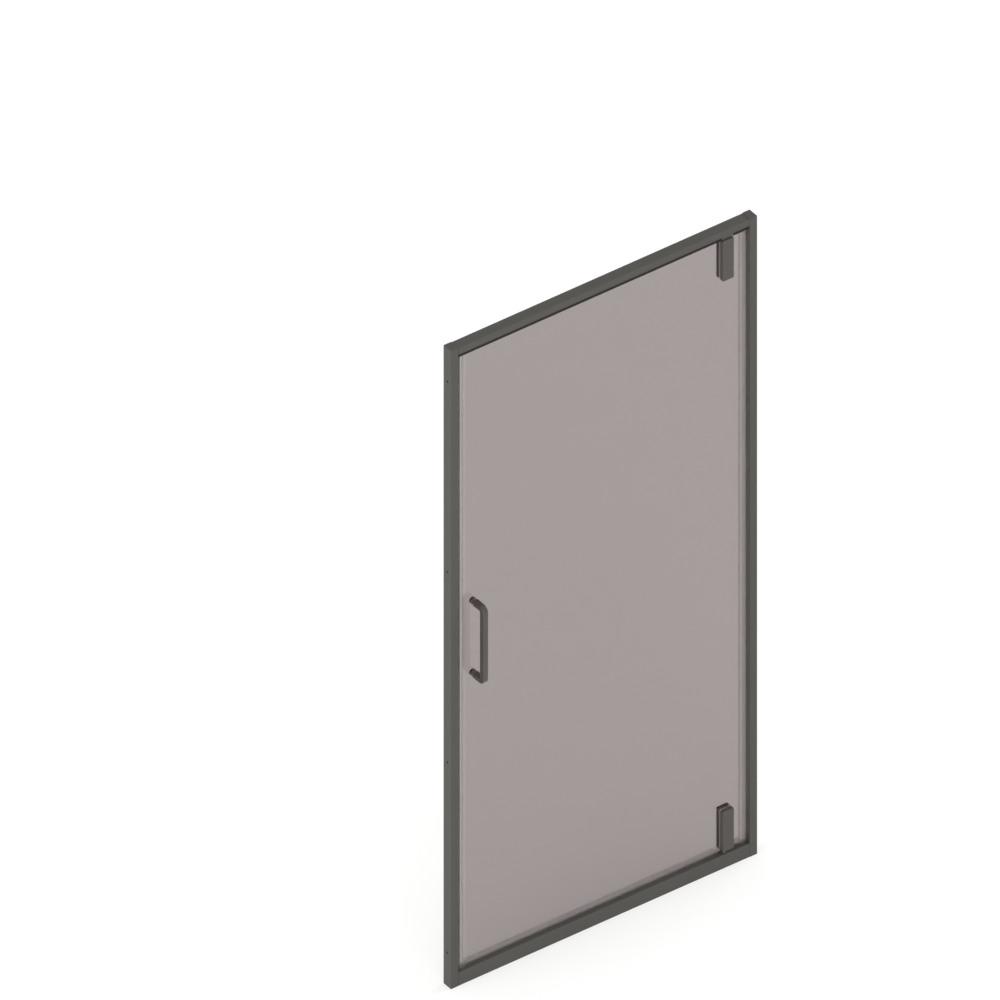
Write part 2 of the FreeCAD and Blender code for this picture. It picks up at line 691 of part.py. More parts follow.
def notch_corners(end, inward):
    """Corners of the notch for a hinge's boss, in the order in which the outline meets them."""
    half = BOSS_WIDTH / 2 + NOTCH_CLEARANCE
    depth = end + inward * (BOSS_LENGTH + NOTCH_CLEARANCE)
    radius = BOSS_CORNER_RADIUS + NOTCH_CLEARANCE
    side = -inward
    return [
        (PIVOT_X + side * half, end, 0),
        (PIVOT_X + side * half, depth, radius),
        (PIVOT_X - side * half, depth, radius),
        (PIVOT_X - side * half, end, 0),
    ]


def glass_outline():
    corner = GLASS_CORNER_RADIUS
    outline = [(GLASS_LEFT, LEAF_BOTTOM, corner)]
    outline += notch_corners(LEAF_BOTTOM, 1)
    outline += [(GLASS_RIGHT, LEAF_BOTTOM, corner), (GLASS_RIGHT, LEAF_TOP, corner)]
    outline += notch_corners(LEAF_TOP, -1)
    outline += [(GLASS_LEFT, LEAF_TOP, corner)]
    return outline


def glass_panel():
    """Pane with ground edges, two hinge notches and four holes."""
    pane = slab(glass_outline(), -GLASS_HALF, GLASS_HALF)
    rim = []
    for edge in pane.Edges:
        box = edge.BoundBox
        if box.YLength < NEARLY_ZERO:
            rim.append(edge)
    pane = pane.makeChamfer(GLASS_ARRIS, rim)
    holes = []
    places = [(PIVOT_X, LEAF_TOP - CLAMP_SCREW_FAR), (PIVOT_X, LEAF_BOTTOM + CLAMP_SCREW_FAR)]
    places += [(HANDLE_X, z) for z in HANDLE_ZS]
    for x, z in places:
        holes.append(rod(GLASS_HOLE_RADIUS, V(x, -GLASS_THICKNESS, z), V(x, GLASS_THICKNESS, z)))
    return pane.cut(holes)


# Pivot hinges, made at the leaf's upper end


def hinge_outline(inset=0):
    half = HINGE_WIDTH / 2 - inset
    bottom = LEAF_TOP - HINGE_LENGTH + inset
    return rectangle(PIVOT_X - half, bottom, PIVOT_X + half, LEAF_TOP - inset, HINGE_CORNER_RADIUS - inset)


def boss_outline(clearance):
    """Boss open at the leaf's end, with its two inner corners rounded."""
    half = BOSS_WIDTH / 2 + clearance
    bottom = LEAF_TOP - BOSS_LENGTH - clearance
    radius = BOSS_CORNER_RADIUS + clearance
    corners = [(PIVOT_X - half, LEAF_TOP, 0), (PIVOT_X - half, bottom, radius)]
    return corners + [(PIVOT_X + half, bottom, radius), (PIVOT_X + half, LEAF_TOP, 0)]


def clamp_screw_heights():
    return (LEAF_TOP - CLAMP_SCREW_NEAR, LEAF_TOP - CLAMP_SCREW_FAR)


def rounded_plate(front, back, visible):
    """Hinge plate with its visible face's edges rounded."""
    plate = slab(hinge_outline(), front, back)
    rim = []
    for edge in plate.Edges:
        box = edge.BoundBox
        if box.YLength < NEARLY_ZERO and abs(box.YMin - visible) < NEARLY_ZERO:
            rim.append(edge)
    return plate.makeFillet(HINGE_EDGE_RADIUS, rim)


def hinge_outer_plate():
    """Outer plate with the boss that fills the glass notch and carries the pin."""
    front = -PLATE_FACE - OUTER_PLATE_THICKNESS
    plate = rounded_plate(front, -PLATE_FACE, front)
    boss = slab(boss_outline(0), -PLATE_FACE, PLATE_FACE + BOSS_REACH_INTO_INNER)
    bore = PIN_RADIUS + PIN_FIT
    cutters = [rod(bore, V(PIVOT_X, 0, LEAF_TOP - PIN_DEPTH_IN_BOSS - PIN_FIT), V(PIVOT_X, 0, LEAF_TOP + 1))]
    for z in clamp_screw_heights():
        start = V(PIVOT_X, front + CLAMP_SCREW_BLIND, z)
        end = V(PIVOT_X, PLATE_FACE + INNER_PLATE_THICKNESS, z)
        cutters.append(rod(CLAMP_SCREW_RADIUS + SCREW_CLEARANCE, start, end))
    return plate.fuse(boss).removeSplitter().cut(cutters)


def hinge_inner_plate():
    """Clamp plate on the inside, with a pocket for the boss and countersunk screw holes."""
    back = PLATE_FACE + INNER_PLATE_THICKNESS
    plate = rounded_plate(PLATE_FACE, back, back)
    pocket_end = PLATE_FACE + BOSS_REACH_INTO_INNER + POCKET_CLEARANCE
    pocket = boss_outline(POCKET_CLEARANCE)
    above = [(x, z + BOSS_WIDTH if z == LEAF_TOP else z, radius) for x, z, radius in pocket]
    cutters = [slab(above, 0, pocket_end)]
    for z in clamp_screw_heights():
        cutter = countersink(CLAMP_SCREW_RADIUS, 2 * INNER_PLATE_THICKNESS, CLAMP_SCREW_HEAD_RADIUS)
        cutters.append(aimed(cutter, V(PIVOT_X, back, z), V(0, 1, 0)))
    return plate.cut(cutters)


def hinge_gaskets():
    """Two thin gaskets between plates and glass, cut out round the boss and the sleeve."""
    gaskets = []
    notch = boss_outline(NOTCH_CLEARANCE)
    above = [(x, z + BOSS_WIDTH if z == LEAF_TOP else z, radius) for x, z, radius in notch]
    z = LEAF_TOP - CLAMP_SCREW_FAR
    for start in (-PLATE_FACE, GLASS_HALF):
        end = start + GASKET_THICKNESS
        gasket = slab(hinge_outline(SEAL_CLEARANCE), start, end)
        hole = rod(GLASS_HOLE_RADIUS, V(PIVOT_X, start - 1, z), V(PIVOT_X, end + 1, z))
        gaskets.append(gasket.cut([slab(above, start - 1, end + 1), hole]))
    return group(gaskets)


def clamp_screws():
    """Two countersunk screws driven from inside, with hexagonal sockets."""
    back = PLATE_FACE + INNER_PLATE_THICKNESS
    length = back + PLATE_FACE + OUTER_PLATE_THICKNESS - 2 * CLAMP_SCREW_BLIND
    screws = []
    for z in clamp_screw_heights():
        screw = flat_screw(CLAMP_SCREW_RADIUS, length, CLAMP_SCREW_HEAD_RADIUS).cut(hex_key(SOCKET_KEY_DEPTH))
        screws.append(aimed(screw, V(PIVOT_X, back, z), V(0, 1, 0)))
    return group(screws)


def sleeve(x, z, screw_radius):
    """Nylon sleeve that keeps a screw off the glass."""
    outer = GLASS_HOLE_RADIUS - SLEEVE_CLEARANCE
    inner = screw_radius + SCREW_CLEARANCE
    start = V(x, SLEEVE_CLEARANCE - PLATE_FACE, z)
    end = V(x, PLATE_FACE - SLEEVE_CLEARANCE, z)
    return rod(outer, start, end).cut(rod(inner, start, end))


def hinge_sleeve():
    return sleeve(PIVOT_X, LEAF_TOP - CLAMP_SCREW_FAR, CLAMP_SCREW_RADIUS)


# Seals of the leaf


def clip_corners():
    """Channel that grips a glass edge, as distance past the edge and offset from the glass middle."""
    return sharp(
        (-CLIP_GRIP, CLIP_INNER),
        (-CLIP_GRIP, CLIP_OUTER),
        (CLIP_BASE, CLIP_OUTER),
        (CLIP_BASE, -CLIP_OUTER),
        (-CLIP_GRIP, -CLIP_OUTER),
        (-CLIP_GRIP, -CLIP_INNER),
        (SEAL_CLEARANCE, -CLIP_INNER),
        (SEAL_CLEARANCE, CLIP_INNER),
    )


def edge_prism(corners, edge_x, outward):
    """Prism from just above the threshold to the leaf's top, for an outline measured past a glass edge."""

    def place(past, depth):
        return V(edge_x + outward * past, depth, EDGE_SEAL_BOTTOM)

    return prism(corners, place, V(0, 0, LEAF_TOP - EDGE_SEAL_BOTTOM))


def strike_seal_reach():
    return STRIKE_GLASS_GAP - STRIKE_STRIP_STAND - MAGNET_GAP


def leaf_magnet_box(clearance):
    end = strike_seal_reach() - SEAL_WALL + clearance
    start = end - MAGNET_THICKNESS - 2 * clearance
    half = MAGNET_HALF_WIDTH + clearance
    return rectangle(start, -half, end, half)


def strike_edge_seal():
    """Clear clip on the glass with a box for the leaf's magnet."""
    half = MAGNET_BODY_HALF
    tip = FIN_TIP_RADIUS
    reach = strike_seal_reach()
    box = [(SEAL_CLEARANCE, -half, 0), (reach, -half, tip), (reach, half, tip), (SEAL_CLEARANCE, half, 0)]
    seal = edge_prism(clip_corners(), GLASS_LEFT, -1).fuse(edge_prism(box, GLASS_LEFT, -1)).removeSplitter()
    return seal.cut(edge_prism(leaf_magnet_box(SEAL_CLEARANCE), GLASS_LEFT, -1))


def leaf_magnet():
    return edge_prism(leaf_magnet_box(0), GLASS_LEFT, -1)


def hinge_edge_seal():
    """Clear clip with a hollow bulb that closes the gap to the hinge jamb."""
    reach = HINGE_GLASS_GAP - BULB_GAP
    radius = (reach - SEAL_CLEARANCE) / 2
    centre_x = GLASS_RIGHT + reach - radius
    bottom = V(centre_x, 0, EDGE_SEAL_BOTTOM)
    top = V(centre_x, 0, LEAF_TOP)
    clip = edge_prism(clip_corners(), GLASS_RIGHT, 1)
    glass_side = edge_prism(rectangle(-reach, -reach, SEAL_CLEARANCE, reach), GLASS_RIGHT, 1)
    bulb = rod(radius, bottom, top).cut(glass_side)
    hollow_start = V(centre_x + CLIP_BASE / 2, 0, EDGE_SEAL_BOTTOM)
    hollow_end = V(centre_x + CLIP_BASE / 2, 0, LEAF_TOP)
    hollow = rod(radius - SEAL_WALL - CLIP_BASE / 2, hollow_start, hollow_end)
    return clip.fuse(bulb).removeSplitter().cut(hollow)


def drip_seal():
    """Clip under the glass with a wiping fin and a slanted drip fin.

    It has two lengths, one on either side of the lower hinge.
    """
    tip = LEAF_BOTTOM - THRESHOLD_HEIGHT - DRIP_GAP
    wall = SEAL_WALL / 2
    wipe = [(SEAL_CLEARANCE, wall, 0), (tip, wall, FIN_TIP_RADIUS), (tip, -wall, FIN_TIP_RADIUS)]
    wipe += [(SEAL_CLEARANCE, -wall, 0)]
    slant = CLIP_OUTER + DRIP_FIN_REACH
    drip = sharp((SEAL_CLEARANCE, CLIP_OUTER - SEAL_WALL), (SEAL_CLEARANCE, CLIP_OUTER))
    drip += sharp((tip - SEAL_WALL, slant), (tip - DRIP_GAP, slant - SEAL_WALL))
    spans = [(GLASS_LEFT + CLIP_GRIP + SEAL_END_CLEARANCE, PIVOT_X - DRIP_SPLIT)]
    spans.append((PIVOT_X + DRIP_SPLIT, GLASS_RIGHT - CLIP_GRIP - SEAL_END_CLEARANCE))
    seals = []
    for start, end in spans:

        def place(past, depth):
            return V(start, depth, LEAF_BOTTOM - past)

        pieces = [prism(corners, place, V(end - start, 0, 0)) for corners in (clip_corners(), wipe, drip)]
        seals.append(pieces[0].fuse(pieces[1:]).removeSplitter())
    return group(seals)


# Pull handle


def pull_handle():
    """Square bar bent to a bow, with a threaded bore in each foot."""
    low, high = HANDLE_ZS
    axis_y = -(GLASS_HALF + HANDLE_REACH - HANDLE_BAR / 2)
    bend = HANDLE_BEND_RADIUS
    slack = bend * (1 - math.sqrt(0.5))
    foot_high = V(HANDLE_X, -HANDLE_FOOT, high)
    foot_low = V(HANDLE_X, -HANDLE_FOOT, low)
    arm_high = V(HANDLE_X, axis_y + bend, high)
    arm_low = V(HANDLE_X, axis_y + bend, low)
    bar_high = V(HANDLE_X, axis_y, high - bend)
    bar_low = V(HANDLE_X, axis_y, low + bend)
    turn_high = V(HANDLE_X, axis_y + slack, high - slack)
    turn_low = V(HANDLE_X, axis_y + slack, low + slack)
    path = Part.Wire(
        [
            Part.makeLine(foot_high, arm_high),
            Part.Arc(arm_high, turn_high, bar_high).toShape(),
            Part.makeLine(bar_high, bar_low),
            Part.Arc(bar_low, turn_low, arm_low).toShape(),
            Part.makeLine(arm_low, foot_low),
        ]
    )
    half = HANDLE_BAR / 2

    def place(x, z):
        return V(HANDLE_X + x, -HANDLE_FOOT, high + z)

    section = rounded_wire(rectangle(-half, -half, half, half, HANDLE_EDGE_RADIUS), place)
    bow = path.makePipeShell([section], True, False)
    bores = []
    for z in HANDLE_ZS:
        end = V(HANDLE_X, -HANDLE_FOOT - HANDLE_THREAD_DEPTH - SCREW_CLEARANCE, z)
        bores.append(rod(HANDLE_SCREW_RADIUS + SCREW_CLEARANCE, V(HANDLE_X, 0, z), end))
    return bow.cut(bores)


def handle_washers():
    """Soft washers between handle and glass, and between glass and rosettes."""
    outer_radius = HANDLE_BAR / 2 - HANDLE_EDGE_RADIUS / 4
    washers = []
    for z in HANDLE_ZS:
        for start, radius in ((-HANDLE_FOOT, outer_radius), (GLASS_HALF, ROSETTE_RADIUS)):
            near = V(HANDLE_X, start, z)
            far = V(HANDLE_X, start + HANDLE_WASHER_THICKNESS, z)
            washers.append(rod(radius, near, far).cut(rod(GLASS_HOLE_RADIUS, near, far)))
    return group(washers)


def handle_sleeves():
    return group([sleeve(HANDLE_X, z, HANDLE_SCREW_RADIUS) for z in HANDLE_ZS])


def rosettes():
    """Round covers on the inside, counterbored for the screw heads."""
    bore = HANDLE_SCREW_RADIUS + SCREW_CLEARANCE
    seat = HANDLE_SCREW_HEAD_RADIUS + SCREW_CLEARANCE
    floor = ROSETTE_THICKNESS - HANDLE_SCREW_HEAD_HEIGHT
    outline = [(bore, 0), (ROSETTE_RADIUS, 0), (ROSETTE_RADIUS, ROSETTE_THICKNESS, ROSETTE_EDGE_RADIUS)]
    outline += [(seat, ROSETTE_THICKNESS), (seat, floor), (bore, floor)]
    covers = []
    for z in HANDLE_ZS:
        covers.append(aimed(turned(outline, V(0, 0, 0)), V(HANDLE_X, HANDLE_FOOT, z), V(0, 1, 0)))
    return group(covers)


def handle_screws():
    """Cap screws from the inside into the handle's feet."""
    floor = ROSETTE_THICKNESS - HANDLE_SCREW_HEAD_HEIGHT
    length = floor + 2 * HANDLE_FOOT + HANDLE_THREAD_DEPTH
    head = HANDLE_SCREW_HEAD_HEIGHT
    radius = HANDLE_SCREW_RADIUS
    outline = [(0, -length), (radius / 2, -length), (radius, radius / 2 - length), (radius, 0)]
    outline += [(HANDLE_SCREW_HEAD_RADIUS, 0), (HANDLE_SCREW_HEAD_RADIUS, head), (0, head)]
    screws = []
    for z in HANDLE_ZS:
        key = hex_key(SOCKET_KEY_DEPTH).translated(V(0, 0, head))
        screw = turned(outline, V(0, 0, 0)).cut(key)
        screws.append(aimed(screw, V(HANDLE_X, HANDLE_FOOT + floor, z), V(0, 1, 0)))
    return group(screws)


# The nodes


def hinge_nodes():
    """Pieces of both hinges; the lower one mirrors the upper one."""
    pieces = {
        "hinge_outer_plate": hinge_outer_plate(),
        "hinge_inner_plate": hinge_inner_plate(),
        "hinge_gaskets": hinge_gaskets(),
        "hinge_screws": clamp_screws(),
        "hinge_sleeve": hinge_sleeve(),
    }
    nodes = {}
    for name, shape in pieces.items():
        nodes["upper_" + name] = shape
        nodes["lower_" + name] = upside_down(shape)
    return nodes


def all_nodes():
    nodes = {
        "strike_wall_channel": wall_channel(LEFT),
        "hinge_wall_channel": wall_channel(RIGHT),
        "strike_jamb": jamb(LEFT),
        "hinge_jamb": jamb(RIGHT),
        "head_rail": head_rail(),
        "threshold_rail": threshold_rail(),
        "strike_channel_cap": channel_cap(LEFT),
        "hinge_channel_cap": channel_cap(RIGHT),
        "frame_screws": frame_screws(),
        "lock_screws": lock_screws(),
        "lock_screw_caps": lock_screw_caps(),
        "strike_strip": strike_strip(),
        "strike_magnet": strike_magnet(),
        "hinge_infill": hinge_infill(),
        "head_seal": head_seal(),
        "upper_pivot_socket": upper_pivot_socket(),
        "lower_pivot_socket": lower_pivot_socket(),
        "upper_pivot_bush": pivot_bush(HEAD_BOTTOM, 1),
        "lower_pivot_bush": pivot_bush(THRESHOLD_HEIGHT, -1),
        "socket_screws": socket_screws(),
        "glass_panel": glass_panel(),
        "upper_pivot_pin": pivot_pin(HEAD_BOTTOM, 1, LEAF_TOP, TOP_PLAY),
        "lower_pivot_pin": pivot_pin(THRESHOLD_HEIGHT, -1, LEAF_BOTTOM, BEARING_PLAY),
        "strike_edge_seal": strike_edge_seal(),
        "leaf_magnet": leaf_magnet(),
        "hinge_edge_seal": hinge_edge_seal(),
        "drip_seal": drip_seal(),
        "pull_handle": pull_handle(),
        "handle_washers": handle_washers(),
        "handle_sleeves": handle_sleeves(),
        "handle_rosettes": rosettes(),
        "handle_screws": handle_screws(),
    }
    nodes.update(hinge_nodes())
    return nodes


os.makedirs("parts", exist_ok=True)
for node_name, node_shape in all_nodes().items():
    node_shape.exportStep("parts/" + node_name + ".step")
    solids = node_shape.Solids
    print(node_name, len(solids), "solids", round(sum(s.Volume for s in solids)), "mm3", node_shape.isValid())
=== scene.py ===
import json
import math

import bpy
from mathutils import Matrix, Vector


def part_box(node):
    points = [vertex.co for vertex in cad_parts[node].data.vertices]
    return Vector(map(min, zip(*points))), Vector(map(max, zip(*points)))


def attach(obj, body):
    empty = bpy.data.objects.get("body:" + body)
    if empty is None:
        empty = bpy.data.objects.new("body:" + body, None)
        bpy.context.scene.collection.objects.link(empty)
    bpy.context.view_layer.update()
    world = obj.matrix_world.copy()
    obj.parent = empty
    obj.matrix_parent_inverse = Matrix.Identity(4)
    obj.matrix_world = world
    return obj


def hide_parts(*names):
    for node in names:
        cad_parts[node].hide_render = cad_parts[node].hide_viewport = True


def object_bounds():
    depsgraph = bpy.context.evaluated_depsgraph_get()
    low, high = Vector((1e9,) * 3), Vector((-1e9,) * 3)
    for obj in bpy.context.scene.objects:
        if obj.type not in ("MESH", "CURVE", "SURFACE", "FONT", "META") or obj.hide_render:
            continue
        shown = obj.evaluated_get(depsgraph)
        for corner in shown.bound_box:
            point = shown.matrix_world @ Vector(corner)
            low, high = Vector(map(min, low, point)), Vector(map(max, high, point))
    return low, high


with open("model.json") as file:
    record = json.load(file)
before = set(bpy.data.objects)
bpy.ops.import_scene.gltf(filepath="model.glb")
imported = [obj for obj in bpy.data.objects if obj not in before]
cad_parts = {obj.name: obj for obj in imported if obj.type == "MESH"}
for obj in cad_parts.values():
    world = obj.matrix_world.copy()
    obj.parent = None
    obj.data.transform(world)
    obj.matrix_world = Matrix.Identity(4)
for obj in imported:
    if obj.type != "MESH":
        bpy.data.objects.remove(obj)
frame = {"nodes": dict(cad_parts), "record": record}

# Looks of a framed pivot shower door, in metres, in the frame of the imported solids.

CAD_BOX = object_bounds()
BODIES = frame["record"]["behaviour"]["bodies"]
BODY_OF = {node: body for body, nodes in BODIES.items() for node in nodes}
SLOT_OF = {part["node"]: part["material_slot"] for part in frame["record"]["subparts"]}
MM = 0.001
SIDES = (-1, 1)
TOWARDS_SHOWER = (0, 1, 0)

# View of the photograph: a parallel projection from the front left and above
VIEW_AZIMUTH = math.radians(36.23)
VIEW_ELEVATION = math.radians(37.2)
PIXELS_PER_METRE = 421.6
IMAGE_SIDE = 1000.0
CORNER_PIXEL = (757.1, 853.7)
CAMERA_DISTANCE = 6.0

# Stage: the glow and the sky are shader strengths, and each softbox has its place and its watts
FLOOR_HALF = 60.0
FLOOR_GLOW = 0.56
SKY_STRENGTH = 0.65
SOFTBOXES = {"key": ((-2.4, -4.4, 2.4), 100.0), "fill": ((3.4, -3.0, 2.4), 25.0)}
SOFTBOX_SIDE = 3.0
SIDE_LIGHTS = {"left_side": -1, "right_side": 1}
SIDE_LIGHT_STRENGTH = 1.25
SIDE_LIGHT_SPREAD = math.radians(50)
SIDE_LIGHT_ELEVATION = math.radians(35)

# Colours
FRAME_GREY = (0.0588, 0.0549, 0.048)
HINGE_GREY = (0.061, 0.0535, 0.048)
PLASTIC_GREY = (0.058, 0.054, 0.047)
GLASS_TINT = (0.588, 0.549, 0.550)
GLASS_EDGE_GREY = (0.44, 0.46, 0.45)
SEAL_TINT = (0.93, 0.92, 0.915)
SEAL_MILK = (0.70, 0.67, 0.66)
RUBBER_BLACK = (0.012, 0.011, 0.010)
GASKET_PALE = (0.62, 0.61, 0.58)
MAGNET_BROWN = (0.045, 0.040, 0.036)
STEEL_GREY = (0.62, 0.61, 0.59)
NYLON_WHITE = (0.74, 0.73, 0.68)
FLOOR_PALE = (0.42, 0.42, 0.418)
FLOOR_GLOW_WHITE = (0.95, 0.95, 0.945)
SKY_WHITE = (1.0, 1.0, 1.0, 1.0)

# Shares of a colour between which its finish varies
COATING_TONES = (0.8, 1.2)
RUBBER_TONES = (0.85, 1.15)
STEEL_TONES = (0.9, 1.0)
NYLON_TONES = (0.94, 1.0)
FLOOR_TONES = (0.99, 1.0)

# Grain of the finishes: specks in a metre, their stretch along X, Y and Z, and how finely they break up
FRAME_GRAIN = 1300.0
HINGE_GRAIN = 2200.0
PLASTIC_GRAIN = 700.0
COATING_CLOUDS = 9.0
COATING_CLOUD_SHARE = 0.4
GLASS_WAVES = 6.0
GLASS_WAVE_STRETCH = (1, 1, 5)
SEAL_STREAKS = 700.0
SEAL_STREAK_STRETCH = (100, 1, 200)
RUBBER_GRAIN = 1400.0
STEEL_GRAIN = 2500.0
NYLON_GRAIN = 300.0
FLOOR_GRAIN = 3.0
SMOOTH_DETAIL = 1.0
GRAIN_DETAIL = 2.0
PEEL_DETAIL = 3.0

# Gloss of the finishes: pairs are the limits between which a roughness varies
FRAME_ROUGHNESS = (0.41, 0.51)
HINGE_ROUGHNESS = (0.31, 0.41)
PLASTIC_ROUGHNESS = (0.47, 0.57)
COATING_SHINE = 0.3
RUBBER_ROUGHNESS = (0.55, 0.75)
RUBBER_SHINE = 0.2
STEEL_ROUGHNESS = (0.22, 0.36)
NYLON_ROUGHNESS = (0.42, 0.52)
FLOOR_ROUGHNESS = 0.9
SHEET_ROUGHNESS = 0.02
SHEET_FACING_SHINE = 0.04
SHEET_EDGE_POWER = 5.0
GLASS_EDGE_ROUGHNESS = 0.35
SEAL_MILK_ROUGHNESS = 0.3

# How much of what lies behind is covered by ground glass edges and by milky plastic
GLASS_EDGE_COVER = 0.5
SEAL_MILK_COVER = (0.05, 0.08)

# Relief of the finishes: strength and depth
COATING_PEEL = (0.6, 0.2 * MM)
GLASS_RIPPLE = (0.1, 0.2 * MM)
SEAL_RIPPLE = (0.1, 0.1 * MM)
RUBBER_RELIEF = (0.2, 0.1 * MM)

# Pull handle
HANDLE_EDGE_RADIUS = 2.0 * MM
HANDLE_BEND_RADIUS = 10.0 * MM
BEND_STEPS = 14
EDGE_STEPS = 5

# Screws of each node, in millimetres
SCREW_SIZES = {
    "frame_screws": {
        "Shank Radius": 1.7, "Shank Length": 22.0, "Thread Pitch": 1.4, "Thread Depth": 0.45,
        "Head Radius": 3.2, "Head Foot Radius": 3.2, "Head Height": 2.4, "Head Chamfer": 0.8,
        "Key Radius": 1.4, "Key Depth": 1.3,
    },
    "lock_screws": {
        "Shank Radius": 1.6, "Shank Length": 8.0, "Thread Pitch": 1.2, "Thread Depth": 0.4,
        "Head Radius": 3.0, "Head Foot Radius": 3.0, "Head Height": 2.0, "Head Chamfer": 0.7,
        "Key Radius": 1.3, "Key Depth": 1.1,
    },
    "socket_screws": {
        "Shank Radius": 1.6, "Shank Length": 5.7, "Thread Pitch": 1.2, "Thread Depth": 0.4,
        "Head Radius": 2.9, "Head Foot Radius": 1.6, "Head Height": 1.3, "Head Chamfer": 0.15,
        "Key Radius": 1.2, "Key Depth": 0.9,
    },
    "handle_screws": {
        "Shank Radius": 3.0, "Shank Length": 26.0, "Thread Pitch": 1.0, "Thread Depth": 0.6,
        "Head Radius": 5.0, "Head Foot Radius": 5.0, "Head Height": 4.0, "Head Chamfer": 0.4,
        "Key Radius": 2.3, "Key Depth": 2.4,
    },
    "upper_hinge_screws": {
        "Shank Radius": 3.0, "Shank Length": 18.4, "Thread Pitch": 1.0, "Thread Depth": 0.6,
        "Head Radius": 5.6, "Head Foot Radius": 3.0, "Head Height": 2.6, "Head Chamfer": 0.2,
        "Key Radius": 2.3, "Key Depth": 2.1,
    },
}
SCREW_SIZES["lower_hinge_screws"] = SCREW_SIZES["upper_hinge_screws"]
KEY_SIDES = 6
TURN_STEPS = 32
ROWS_PER_THREAD = 6
HEAD_ROWS = 4
THREAD_TIP_SHARE = 0.45
THREAD_NECK_SHARE = 0.9

# Meshes
WELD = 1e-6
SHARP_ANGLE = math.radians(32)

# Numbers of the sockets that share a name with others on their node
MIX_FACTOR, MIX_FIRST, MIX_SECOND = 0, 6, 7
MIX_COLOUR_OUT = 2
LAYER_FACTOR, LAYER_FIRST, LAYER_SECOND = 0, 1, 2
RANDOM_LEAST, RANDOM_MOST, RANDOM_SEED = 2, 3, 8
RANDOM_NUMBER_OUT = 1
PICK_INDEX = 0


# Node expressions


class Signal:
    """An output socket that takes part in Python arithmetic by adding Math nodes."""

    def __init__(self, tree, socket):
        self.tree = tree
        self.socket = socket

    def math(self, operation, *values):
        """The result of a Math node on these values."""
        node = self.tree.nodes.new("ShaderNodeMath")
        node.operation = operation
        for slot, value in zip(node.inputs, values):
            plug(self.tree, slot, value)
        return Signal(self.tree, node.outputs[0])

    def __add__(self, other):
        return self.math("ADD", self, other)

    def __radd__(self, other):
        return self.math("ADD", other, self)

    def __sub__(self, other):
        return self.math("SUBTRACT", self, other)

    def __rsub__(self, other):
        return self.math("SUBTRACT", other, self)

    def __mul__(self, other):
        return self.math("MULTIPLY", self, other)

    def __rmul__(self, other):
        return self.math("MULTIPLY", other, self)

    def __truediv__(self, other):
        return self.math("DIVIDE", self, other)

    def __rtruediv__(self, other):
        return self.math("DIVIDE", other, self)

    def __pow__(self, other):
        return self.math("POWER", self, other)

    def __rpow__(self, other):
        return self.math("POWER", other, self)

    def __gt__(self, other):
        return self.math("GREATER_THAN", self, other)

    def __lt__(self, other):
        return self.math("LESS_THAN", self, other)

    def __abs__(self):
        return self.math("ABSOLUTE", self)

    def at_most(self, limit):
        return self.math("MINIMUM", self, limit)

    def fraction(self):
        return self.math("FRACT", self)

    def sine(self):
        return self.math("SINE", self)

    def cosine(self):
        return self.math("COSINE", self)

    def between(self, least, most):
        """A value that this signal, from 0 to 1, moves from least to most."""
        return least + (most - least) * self


def plug(tree, slot, value):
    """Links a signal to a socket, or sets the socket's own value."""
    if isinstance(value, Signal):
        tree.links.new(value.socket, slot)
    elif slot.type == "RGBA" and len(value) == 3:
        slot.default_value = (*value, 1.0)
    else:
        slot.default_value = value


class Nodes:
    """A node tree under construction."""

    def __init__(self, tree):
        self.tree = tree

    def node(self, kind, settings=None, output=0, sockets=None, **named):
        """Adds a node: its settings first, then its sockets by number or by name.

        A name has underscores for spaces.
        """
        node = self.tree.nodes.new(kind)
        for name, value in (settings or {}).items():
            if name == "choices":
                for _ in range(value - len(node.index_switch_items)):
                    node.index_switch_items.new()
            else:
                setattr(node, name, value)
        for number, value in (sockets or {}).items():
            plug(self.tree, node.inputs[number], value)
        for name, value in named.items():
            plug(self.tree, node.inputs[name.replace("_", " ")], value)
        return Signal(self.tree, node.outputs[output])


# Shapes


